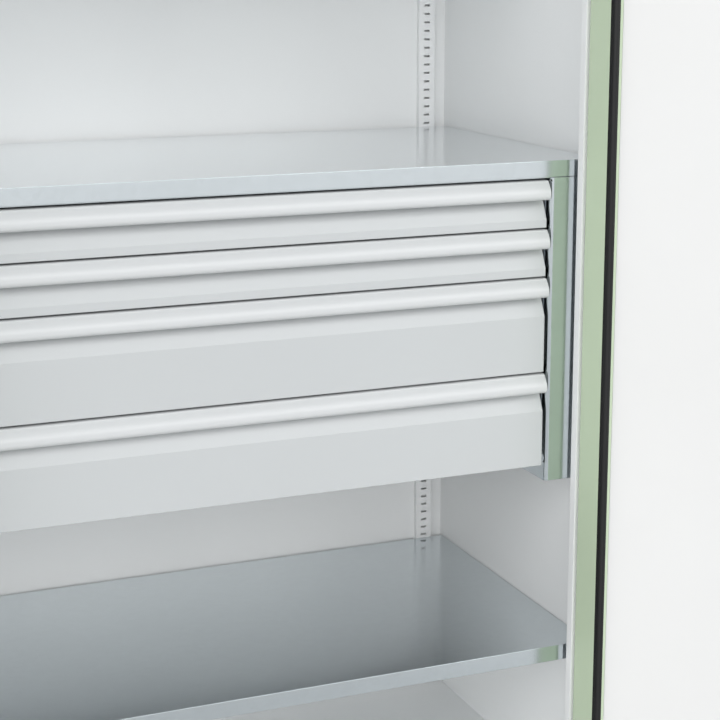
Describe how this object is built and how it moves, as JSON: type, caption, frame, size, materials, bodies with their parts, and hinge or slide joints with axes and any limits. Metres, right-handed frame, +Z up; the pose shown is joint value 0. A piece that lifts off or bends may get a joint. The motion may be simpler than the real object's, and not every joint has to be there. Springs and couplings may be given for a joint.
{
  "type": "heavy-duty cabinet with drawers",
  "caption": "Steel cupboard with two wing doors swung open, slotted uprights, shelves and a block of drawers with continuous grips under the upper shelf.",
  "frame": {"origin": "centre of the footprint on the floor, on the underside of the plinth's middle beam", "axes": "+X to the right seen from the front, +Y to the back wall, +Z up"},
  "size_m": [2.123, 0.6627, 1.95],
  "materials": {
    "light_grey_paint": "fine satin powder coat",
    "dark_grey_paint": "satin powder coat",
    "galvanised": "bright zinc coat",
    "zinc_plated": "zinc plated",
    "drawer_paint": "satin powder coat",
    "grip_paint": "satin powder coat",
    "green_paint": "satin powder coat",
    "white_paint": "satin powder coat",
    "seal_rubber": "matt",
    "lever_paint": "black powder coat on a zinc casting",
    "lock_plastic": "fine grain"
  },
  "bodies": {
    "cabinet": {"side_wall_left": "light_grey_paint", "side_wall_right": "light_grey_paint", "back_wall": "light_grey_paint", "top_panel": "light_grey_paint", "top_rail": "light_grey_paint", "bottom_panel": "light_grey_paint", "bottom_rail": "light_grey_paint", "rear_uprights": "light_grey_paint", "front_uprights": "light_grey_paint", "plinth": "dark_grey_paint", "levelling_feet": "zinc_plated", "lower_shelf": "galvanised", "upper_shelf": "galvanised", "top_shelf": "galvanised", "shelf_hooks": "galvanised", "casing_side_left": "galvanised", "casing_side_right": "galvanised", "casing_top": "galvanised", "casing_back": "galvanised", "cabinet_runners": "zinc_plated", "pivot_brackets": "zinc_plated"},
    "drawer_1": {"tray_1": "drawer_paint", "drawer_front_1": "drawer_paint", "grip_strip_1": "grip_paint", "drawer_rails_1": "zinc_plated"},
    "slide_1": {"middle_slides_1": "zinc_plated"},
    "drawer_2": {"tray_2": "drawer_paint", "drawer_front_2": "drawer_paint", "grip_strip_2": "grip_paint", "drawer_rails_2": "zinc_plated"},
    "slide_2": {"middle_slides_2": "zinc_plated"},
    "drawer_3": {"tray_3": "drawer_paint", "drawer_front_3": "drawer_paint", "grip_strip_3": "grip_paint", "drawer_rails_3": "zinc_plated"},
    "slide_3": {"middle_slides_3": "zinc_plated"},
    "drawer_4": {"tray_4": "drawer_paint", "drawer_front_4": "drawer_paint", "grip_strip_4": "grip_paint", "drawer_rails_4": "zinc_plated"},
    "slide_4": {"middle_slides_4": "zinc_plated"},
    "door_right": {"door_outer_right": "green_paint", "door_inner_right": "white_paint", "door_seal_right": "seal_rubber", "door_stiffener_right": "light_grey_paint", "hinge_bushes_right": "zinc_plated", "overlap_strip": "green_paint", "lock_plate": "lock_plastic", "rod_guides": "zinc_plated"},
    "door_left": {"door_outer_left": "green_paint", "door_inner_left": "white_paint", "door_seal_left": "seal_rubber", "door_stiffener_left": "light_grey_paint", "hinge_bushes_left": "zinc_plated"},
    "lever": {"lock_lever": "lever_paint", "lock_cam": "zinc_plated"},
    "rod_up": {"upper_rod": "zinc_plated"},
    "rod_down": {"lower_rod": "zinc_plated"}
  },
  "joints": [
    {"name": "door_right_swing", "type": "hinge", "parent": "cabinet", "child": "door_right", "pos_m": [0.52825, -0.3315, 1], "axis": [0, 0, 1], "range_deg": [-180, 0], "deforming": ["door_seal_right"]},
    {"name": "door_left_swing", "type": "hinge", "parent": "cabinet", "child": "door_left", "pos_m": [-0.52825, -0.3315, 1], "axis": [0, 0, -1], "range_deg": [-180, 0], "deforming": ["door_seal_left"]},
    {"name": "lever_turn", "type": "hinge", "parent": "door_right", "child": "lever", "pos_m": [0.9945, -0.3315, 1.05], "axis": [0, 1, 0], "range_deg": [0, 90]},
    {"name": "rod_up_slide", "type": "slide", "parent": "door_right", "child": "rod_up", "axis": [0, 0, 1], "range_m": [0, 0.0091]},
    {"name": "rod_down_slide", "type": "slide", "parent": "door_right", "child": "rod_down", "axis": [0, 0, -1], "range_m": [0, 0.0091]},
    {"name": "drawer_1_slide", "type": "slide", "parent": "cabinet", "child": "drawer_1", "axis": [0, -1, 0], "range_m": [0, 0.45]},
    {"name": "slide_1_slide", "type": "slide", "parent": "cabinet", "child": "slide_1", "axis": [0, -1, 0], "range_m": [0, 0.225]},
    {"name": "drawer_2_slide", "type": "slide", "parent": "cabinet", "child": "drawer_2", "axis": [0, -1, 0], "range_m": [0, 0.45]},
    {"name": "slide_2_slide", "type": "slide", "parent": "cabinet", "child": "slide_2", "axis": [0, -1, 0], "range_m": [0, 0.225]},
    {"name": "drawer_3_slide", "type": "slide", "parent": "cabinet", "child": "drawer_3", "axis": [0, -1, 0], "range_m": [0, 0.45]},
    {"name": "slide_3_slide", "type": "slide", "parent": "cabinet", "child": "slide_3", "axis": [0, -1, 0], "range_m": [0, 0.225]},
    {"name": "drawer_4_slide", "type": "slide", "parent": "cabinet", "child": "drawer_4", "axis": [0, -1, 0], "range_m": [0, 0.45]},
    {"name": "slide_4_slide", "type": "slide", "parent": "cabinet", "child": "slide_4", "axis": [0, -1, 0], "range_m": [0, 0.225]}
  ],
  "couplings": [
    {"joint": "rod_up_slide", "follows": "lever_turn", "m_per_rad": 0.00573},
    {"joint": "rod_down_slide", "follows": "lever_turn", "m_per_rad": 0.00573},
    {"joint": "slide_1_slide", "follows": "drawer_1_slide", "ratio": 0.5},
    {"joint": "slide_2_slide", "follows": "drawer_2_slide", "ratio": 0.5},
    {"joint": "slide_3_slide", "follows": "drawer_3_slide", "ratio": 0.5},
    {"joint": "slide_4_slide", "follows": "drawer_4_slide", "ratio": 0.5}
  ]
}
